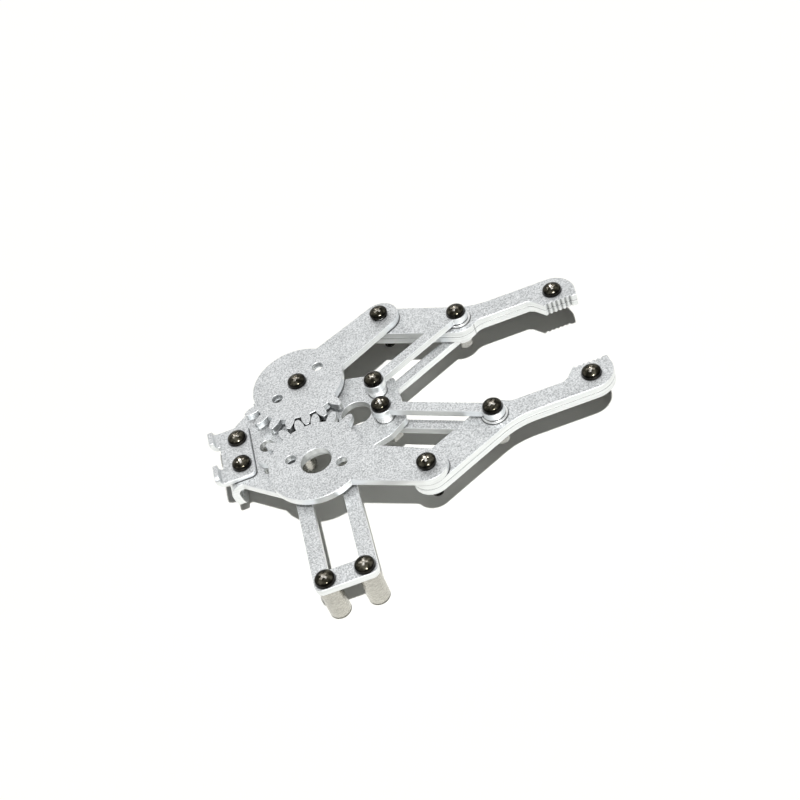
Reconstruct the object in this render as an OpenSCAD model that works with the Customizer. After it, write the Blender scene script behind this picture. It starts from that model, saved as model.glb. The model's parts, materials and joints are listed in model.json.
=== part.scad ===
// Two finger servo gripper: sheet aluminium parallel linkage driven through one gear pair.
// Datum: the centre of the wrist bore on the rear face of the base plate's flange.
// +X points to the finger tips, +Z up through the deck, and the drive side is -Y.

/* [Base plate] */
// Thickness of the base plate and of its rear flange
base_t = 2; // [1.6:0.1:2.2]
// Distance from the rear flange's outer face to the line of the gear axes
gear_x = 24.4; // [23.5:0.1:27]
// Distance from the gear axes to the front edge of the plate
nose_x = 25; // [24:0.1:27]
// Half width of the plate at its front edge
nose_half = 7.8; // [7:0.1:9]
// Half width of the plate at its rear edge
rear_half = 10.4; // [10:0.1:11]
// Half width of the plate at the gear axes
mid_half = 21.1; // [20:0.1:23]
// Distance from the gear axes back to the neck, where the plate starts to widen
neck_x = 20.5; // [19.5:0.1:21.5]
// Distance from the gear axes to the cheeks, where the nose starts to narrow
cheek_x = 20; // [18.5:0.1:21]
// Half width of the plate at the cheeks
cheek_half = 11.5; // [11:0.1:12]
// Distance from the gear axes to the shoulders behind the nose
shoulder_x = 13; // [12:0.1:14]
// Half width of the plate at the shoulders
shoulder_half = 13.7; // [13.3:0.1:14.3]
// Radius of the plate's outer corners
corner_r = 1.5; // [0.5:0.1:1.8]
// Diameter of the lightening hole in the front of the deck
front_hole_d = 8.3; // [4:0.1:8.6]
// Distance of the front lightening hole from the gear line
front_hole_x = 12.7; // [12:0.1:14]
// Diameter of the cable hole in the rear of the deck
cable_hole_d = 4; // [3:0.1:4.2]
// Distance of the cable hole behind the gear line
cable_hole_x = 12.3; // [11.6:0.1:12.8]
// Diameter of the two small tooling holes in the rear of the deck
tool_hole_d = 2.4; // [1.6:0.1:2.8]

/* [Wrist flange] */
// Height of the deck's top face above the wrist bore
deck_z = 6.5; // [6:0.1:7.5]
// Radius of the half round flange
flange_r = 10.5; // [10.5:0.1:11.5]
// Depth of the flange's round centre under the deck's top face
flange_drop = 2.5; // [2.3:0.1:3]
// Inner radius of the bend between the deck and the flange
bend_in = 1.3; // [0.4:0.1:1.4]
// Diameter of the wrist bore
wrist_bore_d = 6; // [4:0.1:6.4]
// Spacing of the two wrist screw holes
wrist_spacing = 13; // [12:0.1:13.4]

/* [Servo frame] */
// Spacing of the servo's ear screws along the servo
ear_length = 49.5; // [48:0.1:52]
// Spacing of the servo's ear screws across the servo
ear_width = 10; // [9.6:0.1:10.6]
// Width of the servo window
window_w = 8; // [7:0.1:8.4]
// Width of each servo arm
servo_arm_w = 4; // [3.6:0.1:4.5]
// Distance from the ear screws to the window's end
crossbar_in = 2.7; // [2.6:0.1:3.2]
// Distance from the ear screws to the end of the frame
crossbar_out = 2.8; // [2.7:0.1:4]
// Diameter of the hole for the servo's output boss
boss_hole_d = 14; // [12:0.1:15]
// Length of the servo standoffs
standoff_l = 10; // [8:0.1:12]
// Outer diameter of the servo standoffs
standoff_d = 5.5; // [5:0.1:5.8]
// Bore of the servo standoffs, drilled for an M3 tap
tap_d = 2.5; // [2.4:0.05:2.6]
// Length of thread that the frame's screws reach into the standoffs
standoff_grip = 4.2; // [3:0.1:5]

/* [Rear bracket] */
// Thickness of the bracket
bracket_t = 1.3; // [1.2:0.1:1.6]
// Width of the bracket's foot
bracket_w = 18.4; // [17:0.1:19.5]
// Distance from the gear axes to the bracket's front edge
bracket_x = 16.2; // [16:0.1:16.6]
// Height of the bracket's lip above its foot
lip_h = 2.2; // [1.8:0.1:6]
// Inner radius of the bend between the foot and the lip
lip_bend = 1; // [0.5:0.1:1.2]
// Overhang of the lip behind the rear flange
lip_over = 2.4; // [1.7:0.1:2.7]
// Width of the notch in the lip
notch_w = 8; // [4:0.1:10]
// Spacing of the bracket screws
bracket_screw_gap = 9.5; // [9:0.1:11]
// Distance of the bracket screws behind the gear axes
bracket_screw_x = 19.4; // [19.2:0.1:19.8]

/* [Gears] */
// Gear module
gear_module = 1.5; // [1.48:0.01:1.54]
// Teeth of the full gear that the toothed sector is cut from
gear_teeth = 20; // [20:1:20]
// Teeth on each sector
sector_teeth = 7; // [5:1:8]
// Radius of the gear's web away from the teeth
web_r = 12.6; // [12:0.1:12.9]
// Thickness of the gear arms
arm_t = 2; // [1.6:0.1:2.2]
// Height of the gear arms above the deck
deck_gap = 1.8; // [1.7:0.1:2.1]
// Width that each arm would have at its gear's axis
arm_root_w = 12.3; // [11:0.1:13]
// Width of each arm at its elbow
arm_w = 10.2; // [9:0.1:10.6]
// Bore of the drive gear for the servo horn's hub
hub_bore_d = 8.2; // [6:0.1:9]
// Radius of the circle of the two horn screw holes
horn_r = 7.1; // [6.8:0.1:8]
// Diameter of the horn screw holes
horn_hole_d = 3; // [2:0.1:3.4]
// Play between the gear flanks, measured along the pitch circle
backlash = 0.2; // [0.1:0.01:0.3]

/* [Linkage] */
// Distance between the pivots of each arm and each link
link_l = 30; // [29.8:0.1:31.5]
// Angle of the arms to the centre line as the parts lie at rest
rest_deg = 28.1; // [20:0.1:32]
// Distance from the gear axes forward to the inner pivots
pivot_x = 19.8; // [19.6:0.1:20.4]
// Distance of the inner pivots from the centre line
pivot_y = 4.9; // [4.6:0.1:5.1]
// Width of the link bars
link_w = 3; // [2.5:0.1:3.4]
// Radius of the eyes at the ends of the link bars
eye_r = 2.9; // [2.7:0.1:3.1]
// Thickness of the link bars
link_t = 2; // [1.5:0.1:2.2]
// Height of the top link bars above the deck
link_z = 2.4; // [2.3:0.1:2.9]
// Thickness of the washers under the inner pivots
pivot_washer_t = 0.55; // [0.4:0.05:1]

/* [Fingers] */
// Thickness of each finger plate
finger_t = 1.9; // [1.6:0.1:2]
// Width of the finger's rear bar
finger_w = 9.8; // [9:0.1:10]
// Radius of the swelling round the front pivot
swell_r = 5; // [4.8:0.1:5.4]
// Distance from the front pivot to the tip screw along the finger
tip_dx = 26.2; // [26:0.1:30]
// Distance of the tip screw from the front pivot towards the centre line
tip_dy = 2.1; // [2:0.1:2.4]
// Width of the finger's front bar
bar_w = 5.8; // [5.4:0.1:6.2]
// Length of the grip face
grip_l = 9.1; // [8:0.1:9.4]
// Length of the ramp from the front bar up to the grip face
ramp_l = 3.7; // [3:0.1:4.4]
// Distance from the tip screw to the grip face
grip_depth = 4.4; // [4.2:0.1:4.6]
// Outer radius of the finger tip
tip_r = 6.2; // [6:0.1:6.4]
// Height of the finger tip from the grip face to its back
tip_h = 9.6; // [9.3:0.05:10]
// Spacing of the grip's teeth
grip_pitch = 1.25; // [0.8:0.05:2]
// Depth of the grip's teeth
grip_tooth = 0.6; // [0.2:0.05:0.8]
// Radius of the hollow blend on the outside of the finger
blend_r = 20; // [10:1:26]

/* [Fasteners] */
// Thread diameter of every screw
screw_d = 3; // [2.9:0.05:3]
// Head diameter of the pan head screws
head_d = 5; // [4.8:0.1:5.6]
// Head height of the pan head screws
head_h = 1.8; // [1.6:0.1:2.4]
// Depth of the countersunk heads
sink_h = 1.3; // [1.1:0.05:1.4]
// Width of the hexagon nuts across their flats
nut_af = 5.5; // [5:0.1:5.5]
// Height of the hexagon nuts
nut_h = 2.4; // [1.8:0.1:3]
// Length of the elbow screws under their heads
elbow_screw_l = 12; // [11:0.1:13]
// Diameter of the elbow bushings
elbow_bush_d = 3.76; // [3.6:0.02:4]
// Height of the elbow bushings over the gear arms
elbow_bush_over = 0.7; // [0.3:0.1:1.6]
// Diameter of the front pivot sleeves
sleeve_d = 4; // [3.8:0.02:4.2]
// Diameter of the spacers under the inner pivots
spacer_d = 5; // [4.8:0.1:5.4]
// Diameter of the collars on the front sleeves
collar_d = 6.8; // [5:0.1:7]
// Diameter of the round nuts under the front pivots
round_nut_d = 3.9; // [3.8:0.1:4.6]
// Height of the round nuts under the front pivots
round_nut_h = 2.8; // [2:0.1:4]
// Diameter of the thrust washer under the idler gear
thrust_d = 7.5; // [6:0.1:9]

/* [Clearances] */
// Radial clearance of every hole that turns on a pin
turn_gap = 0.05; // [0.02:0.01:0.1]
// Clearance between faces that slide on each other
face_gap = 0.05; // [0.02:0.01:0.1]
// Radial clearance of a hole that a screw passes through
through_gap = 0.1; // [0.05:0.01:0.2]

/* [Hidden] */
$fn = 64;
cut = 0.5;
// Step left where a side runs into an arc, so that it never ends in a sliver
step = 0.02;

pitch_r = gear_module * gear_teeth / 2;
tip_circle_r = pitch_r + gear_module;
root_circle_r = pitch_r - 1.25 * gear_module;
pressure_deg = 20;
base_circle_r = pitch_r * cos(pressure_deg);
pitch_deg = 360 / gear_teeth;
tooth_half_deg = pitch_deg / 4 - backlash / (4 * pitch_r) * 180 / PI;
flank_steps = 5;
idler_first_tooth = -4 * pitch_deg;
drive_first_tooth = idler_first_tooth + pitch_deg / 2;

screw_r = screw_d / 2;
through_r = screw_r + through_gap;
turning_r = screw_r + turn_gap;

arm_z = deck_gap;
arm_top = arm_z + arm_t;
finger_top = arm_z - 2 * face_gap;
finger_mid = finger_top - finger_t;
finger_low = finger_mid - finger_t;
link_top = link_z + link_t;
low_link_top = -base_t - pivot_washer_t - face_gap;
low_link_z = low_link_top - link_t;
arm_reach = link_l * [cos(rest_deg), sin(rest_deg)];
inner_pivot = [pivot_x, pivot_y];
elbow = [0, pitch_r] + arm_reach;
front_pivot = inner_pivot + arm_reach;
tip_screw = front_pivot + [tip_dx, -tip_dy];
finger_run = front_pivot - elbow;
link_span = norm(finger_run);
bar_deg = atan2(finger_run[1], finger_run[0]);
grip_y = tip_screw[1] - grip_depth;
bar_out = grip_y + tip_h;
bar_in = bar_out - bar_w;
bar_dir = [cos(bar_deg), sin(bar_deg)];
bar_normal = [-bar_dir[1], bar_dir[0]];
// corner and run-out of the hollow blend on the outside
bend_reach = (elbow[1] + finger_w / 2 * bar_normal[1] - bar_out) / bar_normal[0];
bend = elbow + finger_w / 2 * bar_normal + bend_reach * bar_dir;
bend_run = blend_r * tan(-bar_deg / 2);
// centre of the small hollow beside the swelling
hollow_r = 4;
hollow_rise = front_pivot[1] - bar_in + hollow_r;
inner_centre = [front_pivot[0] + sqrt(pow(swell_r + hollow_r, 2) - hollow_rise * hollow_rise),
                bar_in - hollow_r];
tip_centre = [tip_screw[0] - 0.35, bar_out - tip_r];
grip_x = tip_centre[0] + tip_r - 0.4 - grip_l;
servo_half = window_w / 2 + servo_arm_w;
servo_end = ear_length + crossbar_out;
sink_r = screw_r + sink_h;
frame_screw_l = base_t + standoff_grip;
arm_taper = asin((arm_root_w - arm_w) / 2 / link_l);

// ---- places ----------------------------------------------------------------

// Moves a shape from the gear line on the deck's top face to the wrist datum.
module on_deck(z = 0) {
    translate([gear_x, 0, deck_z + z]) children();
}

// Draws a far-side shape on the far side (side = 1) or the near side (-1).
module on_side(side) {
    if (side > 0) children();
    else mirror([0, 1, 0]) children();
}

module on_both_sides() {
    for (side = [-1, 1]) on_side(side) children();
}

module at(p, z = 0) {
    translate([p[0], p[1], z]) children();
}

// Turns x along the line from one point to the next.
module along(from, to) {
    d = to - from;
    translate([from[0], from[1], 0]) rotate([0, 0, atan2(d[1], d[0])]) children();
}

// ---- standard pieces -------------------------------------------------------

module pan_screw(length) {
    head_r = head_d / 2;
    rotate_extrude() polygon([
        [0, -length], [screw_r - 0.3, -length], [screw_r, 0.3 - length],
        [screw_r, 0], [head_r, 0], [head_r, head_h * 0.45],
        [head_r * 0.9, head_h * 0.75], [head_r * 0.6, head_h], [0, head_h]]);
}

module flat_screw(length) {
    rotate_extrude() polygon([
        [0, -length], [screw_r - 0.3, -length], [screw_r, 0.3 - length],
        [screw_r, -sink_h], [sink_r, 0], [0, 0]]);
}

module tube(outer_r, inner_r, height) {
    difference() {
        cylinder(r = outer_r, h = height);
        translate([0, 0, -cut]) cylinder(r = inner_r, h = height + 2 * cut);
    }
}

module hex_nut() {
    difference() {
        rotate([0, 0, 30]) cylinder(r = nut_af / sqrt(3), h = nut_h, $fn = 6);
        translate([0, 0, -cut]) cylinder(r = screw_r, h = nut_h + 2 * cut);
    }
}

module hole(p, r, z, height) {
    at(p, z - cut) cylinder(r = r, h = height + 2 * cut);
}

// ---- base ------------------------------------------------------------------

// A plate outline with round corners; the points are given for +Y only.
module rounded_outline(points) {
    hull() for (p = points, s = [-1, 1])
        translate([p[0], s * p[1]]) circle(r = corner_r, $fn = 32);
}

module deck_outline() {
    r = corner_r;
    side_deg = atan2(mid_half - rear_half, neck_x - servo_half);
    nose_deg = atan2(cheek_half - nose_half, nose_x - cheek_x);
    cheek_deg = atan2(shoulder_half - cheek_half, cheek_x - shoulder_x);
    translate([-gear_x, -rear_half]) square([gear_x, 2 * rear_half]);
    rounded_outline([
        [-neck_x + r * sin(side_deg), rear_half - r * cos(side_deg)],
        [-servo_half + r * tan(side_deg / 2), mid_half - r],
        [servo_half - r, mid_half - r]]);
    rounded_outline([
        [0, shoulder_half - r],
        [shoulder_x - r * sin(cheek_deg), shoulder_half - r * cos(cheek_deg)],
        [cheek_x - r * sin(nose_deg), cheek_half - r * cos(nose_deg)],
        [nose_x - r, nose_half - r * tan(45 - nose_deg / 2)]]);
}

module servo_frame_outline() {
    hull() for (s = [-1, 1]) {
        translate([s * (servo_half - 2), 2 - servo_end]) circle(r = 2, $fn = 32);
        translate([s * (servo_half - 2), 2 - mid_half]) circle(r = 2, $fn = 32);
    }
}

// Rounds the outer side of the bend between the deck and the rear flange.
module flange_bend() {
    r = base_t + bend_in;
    translate([-gear_x, -rear_half - cut, 0]) difference() {
        translate([-cut, 0, -r]) cube([r + cut, 2 * (rear_half + cut), r + cut]);
        translate([r, -cut, -r]) rotate([-90, 0, 0])
            cylinder(r = r, h = 2 * (rear_half + 2 * cut));
    }
}

// Fills the inner side of the same bend.
module flange_fillet() {
    translate([-gear_x + base_t, -rear_half, -base_t]) difference() {
        translate([-cut, 0, -bend_in]) cube([bend_in + cut, 2 * rear_half, bend_in + cut]);
        translate([bend_in, -cut, -bend_in]) rotate([-90, 0, 0])
            cylinder(r = bend_in, h = 2 * (rear_half + cut));
    }
}

// Half round flange that hangs from the deck's rear edge, with the wrist holes.
module wrist_flange() {
    translate([-gear_x, 0, 0]) rotate([90, 0, 90]) linear_extrude(base_t)
        intersection() {
            union() {
                translate([0, -flange_drop]) circle(r = flange_r);
                translate([-rear_half, -flange_drop]) square([2 * rear_half, flange_drop]);
            }
            translate([-rear_half, -deck_z * 4]) square([2 * rear_half, deck_z * 4]);
        }
}

module base_plate() {
    color("gainsboro") on_deck() difference() {
        union() {
            translate([0, 0, -base_t]) linear_extrude(base_t) {
                deck_outline();
                servo_frame_outline();
            }
            wrist_flange();
            flange_fillet();
        }
        flange_bend();
        // servo window and the hole for the servo's output boss
        translate([-window_w / 2, crossbar_in - ear_length, -base_t - cut])
            cube([window_w, ear_length - crossbar_in - pitch_r, base_t + 2 * cut]);
        hole([0, -pitch_r], boss_hole_d / 2, -base_t, base_t);
        for (x = [-1, 1] * ear_width / 2) {
            hole([x, -ear_length], through_r, -base_t, base_t);
            hole([x, 0], through_r, -base_t, base_t);
            at([x, 0], -sink_h) cylinder(r1 = screw_r, r2 = sink_r, h = sink_h);
            at([x, 0], 0) cylinder(r = sink_r, h = cut);
        }
        hole([0, pitch_r], through_r, -base_t, base_t);
        for (s = [-1, 1]) {
            hole([pivot_x, s * pivot_y], through_r, -base_t, base_t);
            hole([-bracket_screw_x, s * bracket_screw_gap / 2], screw_r, -base_t, base_t);
            hole([-cable_hole_x - 0.8, s * (rear_half - 1.7)], tool_hole_d / 2, -base_t, base_t);
        }
        hole([front_hole_x, 0], front_hole_d / 2, -base_t, base_t);
        hole([-cable_hole_x, 0], cable_hole_d / 2, -base_t, base_t);
        // wrist bore and wrist screw holes
        translate([-gear_x - cut, 0, -deck_z]) rotate([0, 90, 0]) {
            cylinder(r = wrist_bore_d / 2, h = base_t + 2 * cut);
            for (s = [-1, 1]) translate([0, s * wrist_spacing / 2, 0])
                cylinder(r = through_r, h = base_t + 2 * cut);
        }
    }
}

// Side view of the bracket: a foot, a bend and a lip, drawn as x along the foot.
module bracket_profile() {
    back = -gear_x - lip_over;
    turn = back + bracket_t + lip_bend;
    translate([turn, 0]) square([-bracket_x - turn, bracket_t]);
    translate([back, bracket_t + lip_bend]) square([bracket_t, lip_h - lip_bend]);
    intersection() {
        translate([turn, bracket_t + lip_bend]) difference() {
            circle(r = bracket_t + lip_bend);
            circle(r = lip_bend);
        }
        translate([back, 0]) square(bracket_t + lip_bend);
    }
}

module rear_bracket() {
    back = -gear_x - lip_over;
    turn = back + bracket_t + lip_bend;
    color("lightgray") on_deck() difference() {
        translate([0, bracket_w / 2, 0]) rotate([90, 0, 0]) linear_extrude(bracket_w)
            bracket_profile();
        // notch through the lip and its bend
        translate([back - cut, -notch_w / 2, -cut])
            cube([turn - back + cut, notch_w, bracket_t + lip_h + 2 * cut]);
        for (s = [-1, 1])
            hole([-bracket_screw_x, s * bracket_screw_gap / 2], through_r, 0, bracket_t);
        // round front corners of the foot
        on_both_sides() translate([-bracket_x, bracket_w / 2, -cut]) difference() {
            translate([-corner_r, -corner_r, 0])
                cube([corner_r + cut, corner_r + cut, bracket_t + 2 * cut]);
            translate([-corner_r, -corner_r, -cut])
                cylinder(r = corner_r, h = bracket_t + 4 * cut);
        }
        // round upper corners of the lip
        on_both_sides() translate([back - cut, bracket_w / 2, bracket_t + lip_h]) difference() {
            translate([0, -corner_r, -corner_r])
                cube([bracket_t + 2 * cut, corner_r + cut, corner_r + cut]);
            translate([-cut, -corner_r, -corner_r]) rotate([0, 90, 0])
                cylinder(r = corner_r, h = bracket_t + 4 * cut);
        }
    }
}

module bracket_screws() {
    color("dimgray") on_deck(bracket_t) for (s = [-1, 1])
        at([-bracket_screw_x, s * bracket_screw_gap / 2]) pan_screw(bracket_t + base_t + 1.2);
}

module servo_standoffs() {
    color("darkgray") on_deck(-base_t - standoff_l)
        for (x = [-1, 1] * ear_width / 2, y = [0, -ear_length])
            at([x, y]) difference() {
                tube(standoff_d / 2, tap_d / 2, standoff_l);
                translate([0, 0, standoff_l - standoff_grip - 0.2])
                    cylinder(r = screw_r, h = standoff_grip + 0.2 + cut);
            }
}

module standoff_screws() {
    color("dimgray") on_deck() for (x = [-1, 1] * ear_width / 2)
        at([x, -ear_length]) pan_screw(frame_screw_l);
}

module countersunk_screws() {
    color("dimgray") on_deck() for (x = [-1, 1] * ear_width / 2)
        at([x, 0]) flat_screw(frame_screw_l);
}

module idler_screw() {
    color("dimgray") on_deck(arm_top + face_gap) at([0, pitch_r])
        pan_screw(arm_top + face_gap + base_t + nut_h + 0.6);
}

module idler_washer() {
    color("darkgray") on_deck() at([0, pitch_r])
        tube(thrust_d / 2, through_r, deck_gap - face_gap);
}

module idler_nut() {
    color("silver") on_deck(-base_t - nut_h) at([0, pitch_r]) hex_nut();
}

module inner_pivot_screws() {
    drop = link_top + face_gap - low_link_z + face_gap + nut_h + 0.6;
    color("dimgray") on_deck(link_top + face_gap) on_both_sides()
        at(inner_pivot) pan_screw(drop);
}

module inner_pivot_spacers() {
    color("darkgray") on_deck() on_both_sides()
        at(inner_pivot) tube(spacer_d / 2, through_r, link_z - face_gap);
}

module inner_pivot_washers() {
    color("silver") on_deck(-base_t - pivot_washer_t) on_both_sides()
        at(inner_pivot) tube(eye_r, through_r, pivot_washer_t);
}

module inner_pivot_nuts() {
    color("silver") on_deck(low_link_z - face_gap - nut_h) on_both_sides()
        at(inner_pivot) hex_nut();
}

// ---- gear arms -------------------------------------------------------------

// Angle between a tooth's centre line and its flank at radius r.
function flank_deg(r) =
    let (roll = acos(min(1, base_circle_r / r)),
         pitch_roll = acos(base_circle_r / pitch_r))
    tooth_half_deg + (tan(pitch_roll) - tan(roll)) * 180 / PI - pitch_roll + roll;

function polar(r, a) = r * [cos(a), sin(a)];

// One involute tooth that points along +X.
module tooth() {
    radii = [for (i = [0:flank_steps])
        base_circle_r + (tip_circle_r - base_circle_r) * i / flank_steps];
    foot_r = web_r - 0.6;
    polygon(concat(
        [polar(foot_r, -flank_deg(base_circle_r))],
        [for (r = radii) polar(r, -flank_deg(r))],
        [for (i = [flank_steps:-1:0]) polar(radii[i], flank_deg(radii[i]))],
        [polar(foot_r, flank_deg(base_circle_r))]));
}

// The ring of material between the web and the teeth's roots.
module tooth_root(first) {
    sweep = sector_teeth * pitch_deg;
    corners = [for (i = [0:4])
        polar(2 * root_circle_r, first - pitch_deg / 2 + sweep * i / 4)];
    intersection() {
        circle(r = root_circle_r);
        polygon(concat([[0, 0]], corners));
    }
}

// The arm's straight sides, which run into its round end.
module tapered_arm() {
    side = [sin(arm_taper), cos(arm_taper)];
    root = arm_root_w / 2 * side;
    end = [link_l, 0] + (arm_w / 2 - step) * side;
    polygon([root, end, [end[0], -end[1]], [root[0], -root[1]]]);
}

// Gear with its arm, seen on the far side; first is the angle of the first
// tooth from the line of centres.
module gear_arm(first, bore_r) {
    at([0, pitch_r], arm_z) difference() {
        union() {
            cylinder(r = web_r, h = arm_t);
            rotate([0, 0, -90]) linear_extrude(arm_t) {
                tooth_root(first);
                for (i = [0:sector_teeth - 1])
                    rotate([0, 0, first + i * pitch_deg]) tooth();
            }
            rotate([0, 0, rest_deg]) {
                linear_extrude(arm_t) tapered_arm();
                translate([link_l, 0, 0]) cylinder(r = arm_w / 2, h = arm_t);
            }
        }
        hole([0, 0], bore_r, 0, arm_t);
        rotate([0, 0, rest_deg]) {
            hole([horn_r, 0], horn_hole_d / 2, 0, arm_t);
            hole([-horn_r, 0], horn_hole_d / 2, 0, arm_t);
            hole([link_l, 0], elbow_bush_d / 2 + turn_gap, 0, arm_t);
        }
    }
}

module drive_gear_arm() {
    color("gainsboro") on_deck() on_side(-1) gear_arm(drive_first_tooth, hub_bore_d / 2);
}

module idler_gear_arm() {
    color("gainsboro") on_deck() on_side(1) gear_arm(idler_first_tooth, turning_r);
}

// ---- links -----------------------------------------------------------------

module link_bar(z) {
    difference() {
        along(inner_pivot, front_pivot) {
            translate([0, -link_w / 2, z]) cube([link_l, link_w, link_t]);
            for (x = [0, link_l]) translate([x, 0, z]) cylinder(r = eye_r, h = link_t);
        }
        hole(inner_pivot, turning_r, z, link_t);
        hole(front_pivot, through_r, z, link_t);
    }
}

// Sleeve that is clamped between the two bars and carries the finger.
module sleeve() {
    low = low_link_top;
    collar_z = finger_top + face_gap;
    at(front_pivot) difference() {
        union() {
            translate([0, 0, low]) cylinder(r = sleeve_d / 2, h = link_z - low);
            translate([0, 0, collar_z]) cylinder(r = collar_d / 2, h = link_z - collar_z);
        }
        hole([0, 0], through_r, low, link_z - low);
    }
}

module sleeve_screw() {
    at(front_pivot, link_top) pan_screw(link_top - low_link_z + round_nut_h - 0.2);
}

module round_nut() {
    at(front_pivot, low_link_z - round_nut_h)
        tube(round_nut_d / 2, screw_r, round_nut_h);
}

module near_link_top() { color("lightgray") on_deck() on_side(-1) link_bar(link_z); }
module near_link_bottom() { color("lightgray") on_deck() on_side(-1) link_bar(low_link_z); }
module near_sleeve() { color("darkgray") on_deck() on_side(-1) sleeve(); }
module near_sleeve_screw() { color("dimgray") on_deck() on_side(-1) sleeve_screw(); }
module near_round_nut() { color("silver") on_deck() on_side(-1) round_nut(); }
module far_link_top() { color("lightgray") on_deck() on_side(1) link_bar(link_z); }
module far_link_bottom() { color("lightgray") on_deck() on_side(1) link_bar(low_link_z); }
module far_sleeve() { color("darkgray") on_deck() on_side(1) sleeve(); }
module far_sleeve_screw() { color("dimgray") on_deck() on_side(1) sleeve_screw(); }
module far_round_nut() { color("silver") on_deck() on_side(1) round_nut(); }

// ---- fingers ---------------------------------------------------------------

// The rear bar from the elbow to the front pivot, and the front bar.
module finger_bars() {
    along(elbow, front_pivot) translate([0, -finger_w / 2]) square([link_span, finger_w]);
    translate(elbow) circle(r = finger_w / 2);
    translate(front_pivot) circle(r = swell_r);
    translate([front_pivot[0], bar_in]) square([grip_x - ramp_l - front_pivot[0] + 1, bar_w]);
}

// Fills the outer corner between the two bars; finger_plate() then rounds it.
module outer_fill() {
    polygon([bend - bend_run * bar_dir + bar_normal / 4, bend + [bend_run, 0.25],
             bend + [bend_run, -1], bend - [0, 1.5],
             bend - bend_run * bar_dir - bar_normal]);
}

// Fills the corner between the swelling and the front bar's inner edge.
module inner_fill() {
    towards = inner_centre - front_pivot;
    polygon([front_pivot + towards * (swell_r + 0.25) / norm(towards),
             [inner_centre[0], bar_in - 0.25], [inner_centre[0], bar_in + 1], front_pivot]);
}

// The rounded finger tip with its serrated grip face.
module finger_tip() {
    difference() {
        union() {
            intersection() {
                translate(tip_centre) circle(r = tip_r);
                translate([tip_centre[0], grip_y]) square([tip_r + cut, tip_h + cut]);
            }
            polygon([[grip_x - ramp_l, bar_in], [grip_x - 0.65 * ramp_l, bar_in - 0.7],
                     [grip_x - 0.2, grip_y + 0.3], [grip_x, grip_y], [grip_x + grip_l, grip_y],
                     tip_centre + polar(tip_r, -8), tip_centre,
                     [tip_centre[0], bar_out], [grip_x - ramp_l, bar_out]]);
        }
        for (x = [grip_x + 0.8 * grip_pitch : grip_pitch : grip_x + grip_l - grip_pitch / 2])
            polygon([[x - grip_pitch / 2, grip_y - 0.01], [x, grip_y + grip_tooth],
                     [x + grip_pitch / 2, grip_y - 0.01]]);
    }
}

// A finger plate, from the elbow to the serrated grip.
module finger_plate(z, elbow_r, tip_hole_r) {
    difference() {
        translate([0, 0, z]) {
            linear_extrude(finger_t) finger_bars();
            linear_extrude(finger_t) outer_fill();
            linear_extrude(finger_t) inner_fill();
            linear_extrude(finger_t) finger_tip();
        }
        hole(bend + [bend_run, blend_r + step], blend_r, z, finger_t);
        hole(inner_centre + [step, -step], hollow_r, z, finger_t);
        hole(elbow, elbow_r, z, finger_t);
        hole(front_pivot, sleeve_d / 2 + turn_gap, z, finger_t);
        hole(tip_screw, tip_hole_r, z, finger_t);
    }
}

module elbow_bushing() {
    at(elbow, finger_top)
        tube(elbow_bush_d / 2, through_r, arm_top + elbow_bush_over - finger_top);
}

module elbow_screw() {
    at(elbow, arm_top + elbow_bush_over) pan_screw(elbow_screw_l);
}

module tip_screw_piece() {
    at(tip_screw, finger_top) pan_screw(2 * finger_t + 1);
}

module near_finger_upper() {
    color("gainsboro") on_deck() on_side(-1) finger_plate(finger_mid, through_r, through_r);
}
module near_finger_lower() {
    color("gainsboro") on_deck() on_side(-1) finger_plate(finger_low, screw_r, screw_r);
}
module near_elbow_bushing() { color("darkgray") on_deck() on_side(-1) elbow_bushing(); }
module near_elbow_screw() { color("dimgray") on_deck() on_side(-1) elbow_screw(); }
module near_tip_screw() { color("dimgray") on_deck() on_side(-1) tip_screw_piece(); }
module far_finger_upper() {
    color("gainsboro") on_deck() on_side(1) finger_plate(finger_mid, through_r, through_r);
}
module far_finger_lower() {
    color("gainsboro") on_deck() on_side(1) finger_plate(finger_low, screw_r, screw_r);
}
module far_elbow_bushing() { color("darkgray") on_deck() on_side(1) elbow_bushing(); }
module far_elbow_screw() { color("dimgray") on_deck() on_side(1) elbow_screw(); }
module far_tip_screw() { color("dimgray") on_deck() on_side(1) tip_screw_piece(); }

base_plate();
rear_bracket();
bracket_screws();
servo_standoffs();
standoff_screws();
countersunk_screws();
idler_screw();
idler_washer();
idler_nut();
inner_pivot_screws();
inner_pivot_spacers();
inner_pivot_washers();
inner_pivot_nuts();
drive_gear_arm();
idler_gear_arm();
near_link_top();
near_link_bottom();
near_sleeve();
near_sleeve_screw();
near_round_nut();
far_link_top();
far_link_bottom();
far_sleeve();
far_sleeve_screw();
far_round_nut();
near_finger_upper();
near_finger_lower();
near_elbow_bushing();
near_elbow_screw();
near_tip_screw();
far_finger_upper();
far_finger_lower();
far_elbow_bushing();
far_elbow_screw();
far_tip_screw();
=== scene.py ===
"""Looks of the two finger servo gripper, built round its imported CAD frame."""

import json
import math

import bmesh
import bpy
from mathutils import Matrix, Vector


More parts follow.
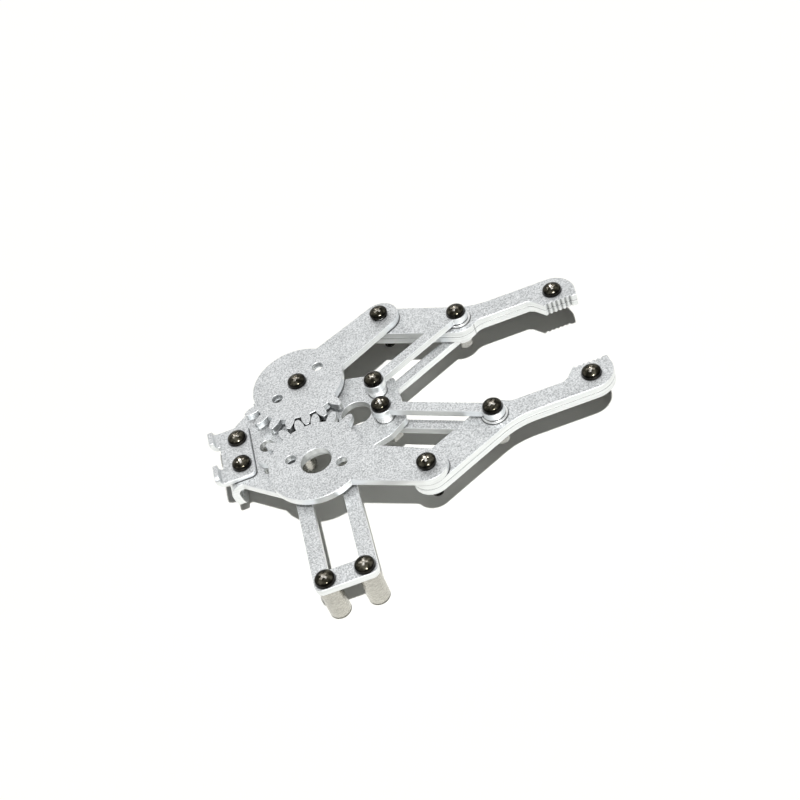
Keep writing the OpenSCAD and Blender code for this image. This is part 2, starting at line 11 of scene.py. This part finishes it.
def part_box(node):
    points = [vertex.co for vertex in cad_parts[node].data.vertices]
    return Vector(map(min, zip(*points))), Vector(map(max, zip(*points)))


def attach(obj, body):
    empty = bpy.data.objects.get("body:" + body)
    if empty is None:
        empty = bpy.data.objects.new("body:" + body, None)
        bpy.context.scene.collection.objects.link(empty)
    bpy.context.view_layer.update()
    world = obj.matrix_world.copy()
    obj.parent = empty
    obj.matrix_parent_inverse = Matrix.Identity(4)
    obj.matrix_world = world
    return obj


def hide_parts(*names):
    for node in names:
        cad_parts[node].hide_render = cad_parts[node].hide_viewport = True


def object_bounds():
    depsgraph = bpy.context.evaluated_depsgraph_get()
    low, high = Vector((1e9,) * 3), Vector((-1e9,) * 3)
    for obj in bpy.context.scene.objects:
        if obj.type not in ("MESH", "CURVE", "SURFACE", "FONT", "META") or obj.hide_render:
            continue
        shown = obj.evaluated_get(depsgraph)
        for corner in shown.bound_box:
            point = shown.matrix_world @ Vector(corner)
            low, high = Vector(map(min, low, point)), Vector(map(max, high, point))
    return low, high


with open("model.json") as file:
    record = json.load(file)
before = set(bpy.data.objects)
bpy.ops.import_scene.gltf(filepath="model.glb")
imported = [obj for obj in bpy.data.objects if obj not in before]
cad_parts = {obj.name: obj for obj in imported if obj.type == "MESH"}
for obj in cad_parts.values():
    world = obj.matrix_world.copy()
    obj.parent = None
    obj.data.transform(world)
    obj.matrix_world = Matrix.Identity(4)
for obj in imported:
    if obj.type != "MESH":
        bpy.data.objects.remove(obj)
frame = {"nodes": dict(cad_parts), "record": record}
cad_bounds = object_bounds()

MM = 0.001

# pan head screws
HEAD_R = 2.5 * MM
HEAD_H = 1.8 * MM
SHANK_R = 1.5 * MM
THREAD_PITCH = 0.5 * MM
THREAD_DEPTH = 0.22 * MM
RECESS_DEPTH = 0.60 * MM
HEAD_STEPS = 48
THREAD_STEPS = 24

# edges of the CAD nodes
EDGE_R = 0.14 * MM
WELD_REACH = 0.025 * MM
COPLANAR_DEG = 0.3
SHARP_DEG = 40

IMAGE_PX = 800
SENSOR_MM = 36.0


# ---- camera, floor and light --------------------------------------------------


def node_corners(name):
    """The low and the high corner of a CAD node's box."""
    low, high = (Vector(c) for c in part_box(name))
    return low, high


def add_camera():
    """A camera at the photograph's viewing angle, aimed near the deck's nose."""
    azimuth, elevation, roll = (math.radians(v) for v in (3.08, 44.14, 22.03))
    distance = 348.9 * MM
    focal_px = 1335.8
    rear, _ = node_corners("base_plate")
    target = Vector((rear.x + 49.0 * MM, -0.36 * MM, 6.0 * MM))
    back = Vector((
        math.sin(azimuth) * math.cos(elevation),
        -math.cos(azimuth) * math.cos(elevation),
        math.sin(elevation),
    ))
    right = (-back).cross(Vector((0, 0, 1))).normalized()
    up = right.cross(-back)
    side = right * math.cos(roll) - up * math.sin(roll)
    top = right * math.sin(roll) + up * math.cos(roll)
    data = bpy.data.cameras.new("camera")
    data.sensor_width = SENSOR_MM
    data.lens = focal_px * SENSOR_MM / IMAGE_PX
    data.clip_start = 0.01
    camera = bpy.data.objects.new("camera", data)
    bpy.context.scene.collection.objects.link(camera)
    turn = Matrix((side, top, back)).transposed().to_4x4()
    camera.matrix_world = Matrix.Translation(target + back * distance) @ turn
    bpy.context.scene.camera = camera


def add_world():
    """White for camera, mirror and glass rays, a low level for the light itself."""
    world = bpy.data.worlds.new("studio")
    bpy.context.scene.world = world
    world.use_nodes = True
    nodes, links = world.node_tree.nodes, world.node_tree.links
    nodes.clear()
    path = nodes.new("ShaderNodeLightPath")
    where = nodes.new("ShaderNodeTexCoord")
    axes = nodes.new("ShaderNodeSeparateXYZ")
    links.new(where.outputs["Generated"], axes.inputs[0])
    # the mirrored room: bright overhead and behind, darker low on the near side
    ramp = nodes.new("ShaderNodeValToRGB")
    dark, bright = ramp.color_ramp.elements
    dark.position, dark.color = 0.12, (0.30, 0.31, 0.32, 1)
    bright.position, bright.color = 0.75, (1, 1, 1, 1)
    lean_back = 0.35
    lean = nodes.new("ShaderNodeMath")
    lean.operation = "MULTIPLY_ADD"
    lean.inputs[1].default_value = lean_back
    links.new(axes.outputs["Y"], lean.inputs[0])
    links.new(axes.outputs["Z"], lean.inputs[2])
    links.new(lean.outputs[0], ramp.inputs[0])
    fill = nodes.new("ShaderNodeBackground")
    fill.inputs["Color"].default_value = (1, 0.97, 0.88, 1)
    fill.inputs["Strength"].default_value = 0.02
    room = nodes.new("ShaderNodeBackground")
    links.new(ramp.outputs[0], room.inputs["Color"])
    white = nodes.new("ShaderNodeBackground")
    white.inputs["Color"].default_value = (1, 1, 1, 1)
    mirrored = nodes.new("ShaderNodeMixShader")
    links.new(path.outputs["Is Glossy Ray"], mirrored.inputs[0])
    links.new(fill.outputs[0], mirrored.inputs[1])
    links.new(room.outputs[0], mirrored.inputs[2])
    seen = nodes.new("ShaderNodeMath")
    seen.operation = "MAXIMUM"
    links.new(path.outputs["Is Camera Ray"], seen.inputs[0])
    links.new(path.outputs["Is Transmission Ray"], seen.inputs[1])
    final = nodes.new("ShaderNodeMixShader")
    links.new(seen.outputs[0], final.inputs[0])
    links.new(mirrored.outputs[0], final.inputs[1])
    links.new(white.outputs[0], final.inputs[2])
    out = nodes.new("ShaderNodeOutputWorld")
    links.new(final.outputs[0], out.inputs[0])


def add_sun(direction, strength, angle_deg):
    data = bpy.data.lights.new("key", "SUN")
    data.energy = strength
    data.angle = math.radians(angle_deg)
    lamp = bpy.data.objects.new("key", data)
    bpy.context.scene.collection.objects.link(lamp)
    lamp.rotation_euler = Vector(direction).to_track_quat("-Z", "Y").to_euler()


def add_floor():
    """A white floor just under the part, wide enough to fill the frame."""
    low, high = (Vector(c) for c in cad_bounds)
    half_width = 3.0
    gap = 0.2 * MM
    mesh = bpy.data.meshes.new("floor")
    z = low.z - gap
    centre = (low + high) / 2
    corners = [(centre.x + half_width * x, centre.y + half_width * y, z)
               for x, y in ((-1, -1), (1, -1), (1, 1), (-1, 1))]
    mesh.from_pydata(corners, [], [(0, 1, 2, 3)])
    floor = bpy.data.objects.new("floor", mesh)
    bpy.context.scene.collection.objects.link(floor)
    paint = Paint("floor_white")
    paint.shader.inputs["Base Color"].default_value = (0.92, 0.915, 0.875, 1)
    paint.shader.inputs["Roughness"].default_value = 0.9
    paint.shader.inputs["Specular IOR Level"].default_value = 0.0
    mesh.materials.append(paint.material)


# ---- materials ----------------------------------------------------------------


class Paint:
    """A material with one Principled shader and helpers for its nodes."""

    def __init__(self, name):
        self.material = bpy.data.materials.new(name)
        self.material.use_nodes = True
        self.nodes = self.material.node_tree.nodes
        self.links = self.material.node_tree.links
        self.shader = self.nodes["Principled BSDF"]

    def add(self, kind, **settings):
        node = self.nodes.new(kind)
        for key, value in settings.items():
            setattr(node, key, value)
        return node

    def place(self, scale):
        """Object coordinates, stretched by scale."""
        where = self.add("ShaderNodeTexCoord")
        mapping = self.add("ShaderNodeMapping")
        mapping.inputs["Scale"].default_value = scale
        self.links.new(where.outputs["Object"], mapping.inputs[0])
        return mapping.outputs[0]

    def noise(self, scale, detail=2.0, roughness=0.5, stretch=(1, 1, 1)):
        noise = self.add("ShaderNodeTexNoise")
        noise.inputs["Scale"].default_value = scale
        noise.inputs["Detail"].default_value = detail
        noise.inputs["Roughness"].default_value = roughness
        self.links.new(self.place(stretch), noise.inputs["Vector"])
        return noise.outputs["Fac"]

    def ramp(self, value, stops):
        """Colours value by stops of (position, colour)."""
        ramp = self.add("ShaderNodeValToRGB")
        elements = ramp.color_ramp.elements
        while len(elements) < len(stops):
            elements.new(0.5)
        for element, (position, colour) in zip(elements, stops):
            element.position = position
            element.color = (*colour, 1)
        self.links.new(value, ramp.inputs[0])
        return ramp.outputs[0]

    def mix(self, factor, a, b):
        mix = self.add("ShaderNodeMix", data_type="RGBA")
        self.links.new(factor, mix.inputs[0])
        self.links.new(a, mix.inputs[6])
        self.links.new(b, mix.inputs[7])
        return mix.outputs[2]

    def bump(self, height, strength, distance):
        bump = self.add("ShaderNodeBump")
        bump.inputs["Strength"].default_value = strength
        bump.inputs["Distance"].default_value = distance
        self.links.new(height, bump.inputs["Height"])
        self.links.new(bump.outputs[0], self.shader.inputs["Normal"])

    def paint_crease_shade(self, colour, reach, darkest, full=0.55, clear=0.92):
        """Painted shade in seams and round the feet of screws: colour times a crease mask from
        ambient occlusion.

        The mask is darkest at an openness of full and gone at an openness of clear."""
        # painted shade: ambient occlusion darkens the colour where parts meet and inside hollows
        crease = self.add("ShaderNodeAmbientOcclusion", samples=8)
        crease.inputs["Distance"].default_value = reach
        mask = self.ramp(crease.outputs["AO"], [(full, grey(darkest)), (clear, grey(1))])
        mix = self.add("ShaderNodeMix", data_type="RGBA", blend_type="MULTIPLY")
        mix.inputs[0].default_value = 1.0
        self.links.new(colour, mix.inputs[6])
        self.links.new(mask, mix.inputs[7])
        return mix.outputs[2]

    def flatness(self, low=0.75, high=0.95):
        """1 on faces that look straight up or down, 0 on the cut edges of a plate."""
        geometry = self.add("ShaderNodeNewGeometry")
        axes = self.add("ShaderNodeSeparateXYZ")
        self.links.new(geometry.outputs["Normal"], axes.inputs[0])
        size = self.add("ShaderNodeMath", operation="ABSOLUTE")
        self.links.new(axes.outputs["Z"], size.inputs[0])
        return self.ramp(size.outputs[0], [(low, (0, 0, 0)), (high, (1, 1, 1))])


def grey(level, tint=(1, 1, 1)):
    return tuple(level * t for t in tint)


def sheet_aluminium():
    """Sand blasted sheet with milled edges coloured lighter than its faces, partly their finish
    and partly painted light, and painted shade in seams and holes.
    """
    paint = Paint("sheet_aluminium")
    cool = (0.965, 0.99, 1.0)
    grain = paint.noise(2500, detail=3, roughness=0.65)
    blast = paint.ramp(grain, [(0.30, grey(0.10, cool)), (0.42, grey(0.42, cool)),
                               (0.52, grey(0.66, cool)), (0.68, grey(0.90))])
    cloud = paint.noise(110, detail=2)
    soft = paint.ramp(cloud, [(0.3, grey(0.50, cool)), (0.7, grey(0.66, cool))])
    cloud_share = 0.35
    blend = paint.add("ShaderNodeMix", data_type="RGBA")
    blend.inputs[0].default_value = cloud_share
    paint.links.new(blast, blend.inputs[6])
    paint.links.new(soft, blend.inputs[7])
    lines = paint.noise(420, detail=2, stretch=(0.25, 0.25, 6))
    milled = paint.ramp(lines, [(0.3, grey(0.80, cool)), (0.7, grey(0.92, cool))])
    # painted shade: the milled edges darken towards holes and inner corners, within 1.5 mm
    edge = paint.paint_crease_shade(milled, 1.5 * MM, 0.25, full=0.35)
    # partly painted light: cut edges get a lighter colour than level faces, for their milled
    # finish and for the bright floor they mirror
    flat = paint.flatness()
    face = paint.mix(flat, edge, blend.outputs[2])
    # painted shade: a dark line in seams and a dark ring round the feet of screws
    colour = paint.paint_crease_shade(face, 0.45 * MM, 0.05)
    paint.links.new(colour, paint.shader.inputs["Base Color"])
    rough = paint.ramp(flat, [(0, grey(0.38)), (1, grey(0.55))])
    paint.links.new(rough, paint.shader.inputs["Roughness"])
    paint.shader.inputs["Metallic"].default_value = 0.85
    paint.bump(grain, 0.5, 0.05 * MM)
    return paint.material


def recess_highlight_nickel():
    """Plating inside the cross recess, coloured bright in patches as a painted highlight."""
    paint = Paint("recess_highlight_nickel")
    highlight_patches = paint.noise(1800, detail=2)
    # painted highlight: the recess is coloured up to near white in noisy patches
    colour = paint.ramp(highlight_patches, [(0.35, (0.34, 0.32, 0.28)), (0.6, (0.85, 0.83, 0.79))])
    paint.links.new(colour, paint.shader.inputs["Base Color"])
    paint.links.new(paint.ramp(highlight_patches, [(0.3, grey(0.3)), (0.7, grey(0.16))]),
                    paint.shader.inputs["Roughness"])
    paint.shader.inputs["Metallic"].default_value = 1.0
    paint.bump(highlight_patches, 0.3, 0.02 * MM)
    return paint.material


def dark_nickel():
    """Dark nickel plated screws, glossy with faint handling marks."""
    paint = Paint("dark_nickel")
    marks = paint.noise(900, detail=3)
    crown = paint.ramp(marks, [(0.38, (0.012, 0.011, 0.008)), (0.50, (0.032, 0.029, 0.02)),
                               (0.64, (0.10, 0.093, 0.07))])
    side = paint.ramp(marks, [(0.35, (0.006, 0.006, 0.005)), (0.65, (0.025, 0.023, 0.02))])
    # painted reflection: the steep sides of the heads are coloured darker than the crowns, for
    # the dark ring the heads mirror round their rims
    colour = paint.mix(paint.flatness(0.55, 0.98), side, crown)
    paint.links.new(colour, paint.shader.inputs["Base Color"])
    rough = paint.ramp(marks, [(0.3, grey(0.12)), (0.7, grey(0.22))])
    paint.links.new(rough, paint.shader.inputs["Roughness"])
    paint.shader.inputs["Metallic"].default_value = 1.0
    paint.bump(marks, 0.15, 0.02 * MM)
    return paint.material


def turned_metal(name, dark, light, rough):
    """Turned round stock with fine rings along its axis."""
    paint = Paint(name)
    rings = paint.noise(3600, detail=2, stretch=(0.3, 0.3, 1))
    colour = paint.ramp(rings, [(0.3, dark), (0.7, light)])
    paint.links.new(colour, paint.shader.inputs["Base Color"])
    level = paint.ramp(rings, [(0.3, grey(rough - 0.05)), (0.7, grey(rough + 0.06))])
    paint.links.new(level, paint.shader.inputs["Roughness"])
    paint.shader.inputs["Metallic"].default_value = 0.95
    paint.bump(rings, 0.06, 0.02 * MM)
    return paint.material


# ---- meshes -------------------------------------------------------------------


def add_object(name, bm, skins):
    mesh = bpy.data.meshes.new(name)
    bmesh.ops.recalc_face_normals(bm, faces=bm.faces)
    bm.to_mesh(mesh)
    bm.free()
    for skin in skins:
        mesh.materials.append(skin)
    piece = bpy.data.objects.new(name, mesh)
    bpy.context.scene.collection.objects.link(piece)
    return piece


def ring_point(centre, radius, turn, height):
    """The point at radius and height from centre, after turn of a full circle."""
    angle = 2 * math.pi * turn
    return (centre.x + radius * math.cos(angle),
            centre.y + radius * math.sin(angle), centre.z + height)


def revolve(bm, profile, centre):
    """Turns a run of (radius, height) points, from axis to axis, round a vertical axis."""
    rings = []
    for radius, height in profile:
        steps = HEAD_STEPS if radius else 1
        rings.append([bm.verts.new(ring_point(centre, radius, i / HEAD_STEPS, height))
                      for i in range(steps)])
    for a, b in zip(rings, rings[1:]):
        for i in range(HEAD_STEPS):
            j = (i + 1) % HEAD_STEPS
            corners = [a[i % len(a)], a[j % len(a)], b[j % len(b)], b[i % len(b)]]
            unique = list(dict.fromkeys(corners))
            if len(unique) > 2:
                bm.faces.new(unique)


def head_profile():
    """Pan head: a flat bottom, a small chamfered foot, an upright side and a domed top."""
    side = HEAD_H * 0.42
    foot_r, foot_h = HEAD_R * 0.95, 0.12 * MM
    dome_step_deg = 9
    dome = [(HEAD_R * math.cos(t), side + (HEAD_H - side) * math.sin(t))
            for t in (math.radians(a) for a in range(0, 90, dome_step_deg))]
    return [(0.0, 0.0), (foot_r, 0.0), (HEAD_R, foot_h)] + dome + [(0.0, HEAD_H)]


def tapered_block(bm, half_x, half_y, top, bottom, shrink, turn_deg):
    """A block round the Z axis that shrinks from top to bottom by shrink in x and y."""
    spin = Matrix.Rotation(math.radians(turn_deg), 4, "Z")
    upper = [(-half_x, -half_y), (half_x, -half_y), (half_x, half_y), (-half_x, half_y)]
    verts = [bm.verts.new(spin @ Vector((x, y, top))) for x, y in upper]
    verts += [bm.verts.new(spin @ Vector((x * shrink[0], y * shrink[1], bottom)))
              for x, y in upper]
    bm.faces.new(verts[3::-1])
    bm.faces.new(verts[4:8])
    for i in range(4):
        j = (i + 1) % 4
        bm.faces.new([verts[i], verts[j], verts[4 + j], verts[4 + i]])


def cross_cutter(centre, turn_deg, skins):
    """The tapered cross of a Phillips recess, as a closed mesh to cut with.

    skins are the head's own, and the second one colours the recess."""
    bm = bmesh.new()
    slot_half, slot_reach = 0.36 * MM, 1.30 * MM
    well_half = 0.62 * MM
    above = 0.4 * MM
    crown = centre.z + HEAD_H
    for quarter in (0, 90):
        tapered_block(bm, slot_reach, slot_half, crown + above, crown - RECESS_DEPTH,
                      (0.78, 0.70), turn_deg + quarter)
    # the square well in the middle of the cross
    tapered_block(bm, well_half, well_half, crown + above, crown - RECESS_DEPTH * 1.05,
                  (0.7, 0.7), turn_deg + 45)
    bmesh.ops.translate(bm, verts=bm.verts, vec=Vector((centre.x, centre.y, 0)))
    for face in bm.faces:
        face.material_index = 1
    return add_object("cutter", bm, skins)


def threaded_shank(bm, centre, length):
    """A shank with a real helical thread and a tapered end, just under size."""
    rows_per_turn = 8
    taper, end_share = 0.5 * MM, 0.35
    rows = int(length / THREAD_PITCH * rows_per_turn)
    grid = []
    for k in range(rows + 1):
        z = -length * k / rows
        fade = min(1.0, (length + z) / taper + end_share)
        ring = []
        for i in range(THREAD_STEPS):
            turn = i / THREAD_STEPS
            phase = (-z / THREAD_PITCH + turn) % 1.0
            groove = abs(2 * phase - 1)
            radius = (SHANK_R - THREAD_DEPTH * groove) * fade
            ring.append(bm.verts.new(ring_point(centre, radius, turn, z)))
        grid.append(ring)
    for a, b in zip(grid, grid[1:]):
        for i in range(THREAD_STEPS):
            j = (i + 1) % THREAD_STEPS
            bm.faces.new([a[i], a[j], b[j], b[i]])
    bm.faces.new(grid[0][::-1])
    bm.faces.new(grid[-1])


def bake_cut(piece, cutter):
    """Cuts cutter out of piece and keeps the result as its mesh."""
    cut = piece.modifiers.new("cut", "BOOLEAN")
    cut.operation = "DIFFERENCE"
    cut.solver = "EXACT"
    cut.object = cutter
    cut.use_self = True
    ready = piece.evaluated_get(bpy.context.evaluated_depsgraph_get())
    mesh = bpy.data.meshes.new_from_object(ready)
    piece.modifiers.clear()
    piece.data = mesh
    bpy.data.objects.remove(cutter)


def smooth_by_angle(piece, degrees):
    for polygon in piece.data.polygons:
        polygon.use_smooth = True
    piece.data.set_sharp_from_angle(angle=math.radians(degrees))


def pan_screw(name, node, body, heads, tilt_deg, skins):
    """Pan head screws that stand for a CAD node; heads are the heads' base centres.

    skins are the plating and the brighter plating inside the recess, which paints its highlight."""
    turn_between_heads = 37
    low, _ = node_corners(node)
    parts = []
    for count, centre in enumerate(heads):
        bm = bmesh.new()
        revolve(bm, head_profile(), centre)
        head = add_object(f"{name}_head{count}", bm, skins)
        bake_cut(head, cross_cutter(centre, tilt_deg + turn_between_heads * count, skins))
        bm = bmesh.new()
        threaded_shank(bm, centre, centre.z - low.z)
        shank = add_object(f"{name}_shank{count}", bm, skins)
        parts += [head, shank]
    joined = bmesh.new()
    for part in parts:
        joined.from_mesh(part.data)
        bpy.data.objects.remove(part)
    piece = add_object(name, joined, skins)
    smooth_by_angle(piece, 32)
    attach(piece, body)
    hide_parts(node)


def head_places(node):
    """Centres of the heads' bases of a node that holds one screw, or two in a row."""
    low, high = node_corners(node)
    base = high.z - HEAD_H
    size = high - low
    middle = (low + high) / 2
    if max(size.x, size.y) < 2.2 * HEAD_R:
        return [Vector((middle.x, middle.y, base))]
    if size.x > size.y:
        return [Vector((x, middle.y, base)) for x in (low.x + HEAD_R, high.x - HEAD_R)]
    return [Vector((middle.x, y, base)) for y in (low.y + HEAD_R, high.y - HEAD_R)]


# ---- the object ---------------------------------------------------------------


def dress_cad_nodes(skins):
    """Gives every CAD node that stays its material and softly rounded edges."""
    slots = {s["node"]: s["material_slot"] for s in frame["record"]["subparts"]}
    for name, node in frame["nodes"].items():
        slot = slots[name]
        node.data.materials.clear()
        node.data.materials.append(skins[slot])
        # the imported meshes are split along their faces, so they are joined first
        weld = node.modifiers.new("weld", "WELD")
        weld.merge_threshold = WELD_REACH
        merge = node.modifiers.new("merge_coplanar", "DECIMATE")
        merge.decimate_type = "DISSOLVE"
        merge.angle_limit = math.radians(COPLANAR_DEG)
        soft = node.modifiers.new("soft_edge", "BEVEL")
        soft.width = EDGE_R
        soft.use_clamp_overlap = False
        soft.segments = 2
        soft.limit_method = "ANGLE"
        soft.angle_limit = math.radians(SHARP_DEG)
        level = node.modifiers.new("level_normals", "WEIGHTED_NORMAL")
        level.weight = 100
        # level faces stay flat shaded
        for polygon in node.data.polygons:
            polygon.use_smooth = abs(polygon.normal.z) < 0.999


def add_screws(skins):
    """Puts a detailed screw in place of each pan head node, each turned its own way."""
    bodies = {n: b for b, names in frame["record"]["behaviour"]["bodies"].items() for n in names}
    pan_heads = ["bracket_screws", "standoff_screws", "idler_screw", "inner_pivot_screws",
                 "near_sleeve_screw", "far_sleeve_screw", "near_elbow_screw",
                 "far_elbow_screw", "near_tip_screw", "far_tip_screw"]
    first_turn, turn_step = 12, 29
    for number, node in enumerate(pan_heads):
        pan_screw(f"{node}_detailed", node, bodies[node], head_places(node),
                  first_turn + turn_step * number, skins)


def main():
    bpy.context.scene.view_settings.view_transform = "Standard"
    add_camera()
    add_world()
    add_sun(direction=(-0.10, 0.48, -1.0), strength=3.9, angle_deg=2.0)
    add_floor()
    skins = {
        "sheet_aluminium": sheet_aluminium(),
        "dark_nickel": dark_nickel(),
        "satin_steel": turned_metal("satin_steel", (0.40, 0.39, 0.36), (0.56, 0.55, 0.51), 0.27),
        "turned_aluminium": turned_metal("turned_aluminium", (0.74, 0.75, 0.74),
                                         (0.93, 0.93, 0.92), 0.20),
        "zinc": turned_metal("zinc", (0.28, 0.28, 0.27), (0.46, 0.46, 0.44), 0.30),
    }
    dress_cad_nodes(skins)
    add_screws((skins["dark_nickel"], recess_highlight_nickel()))


main()
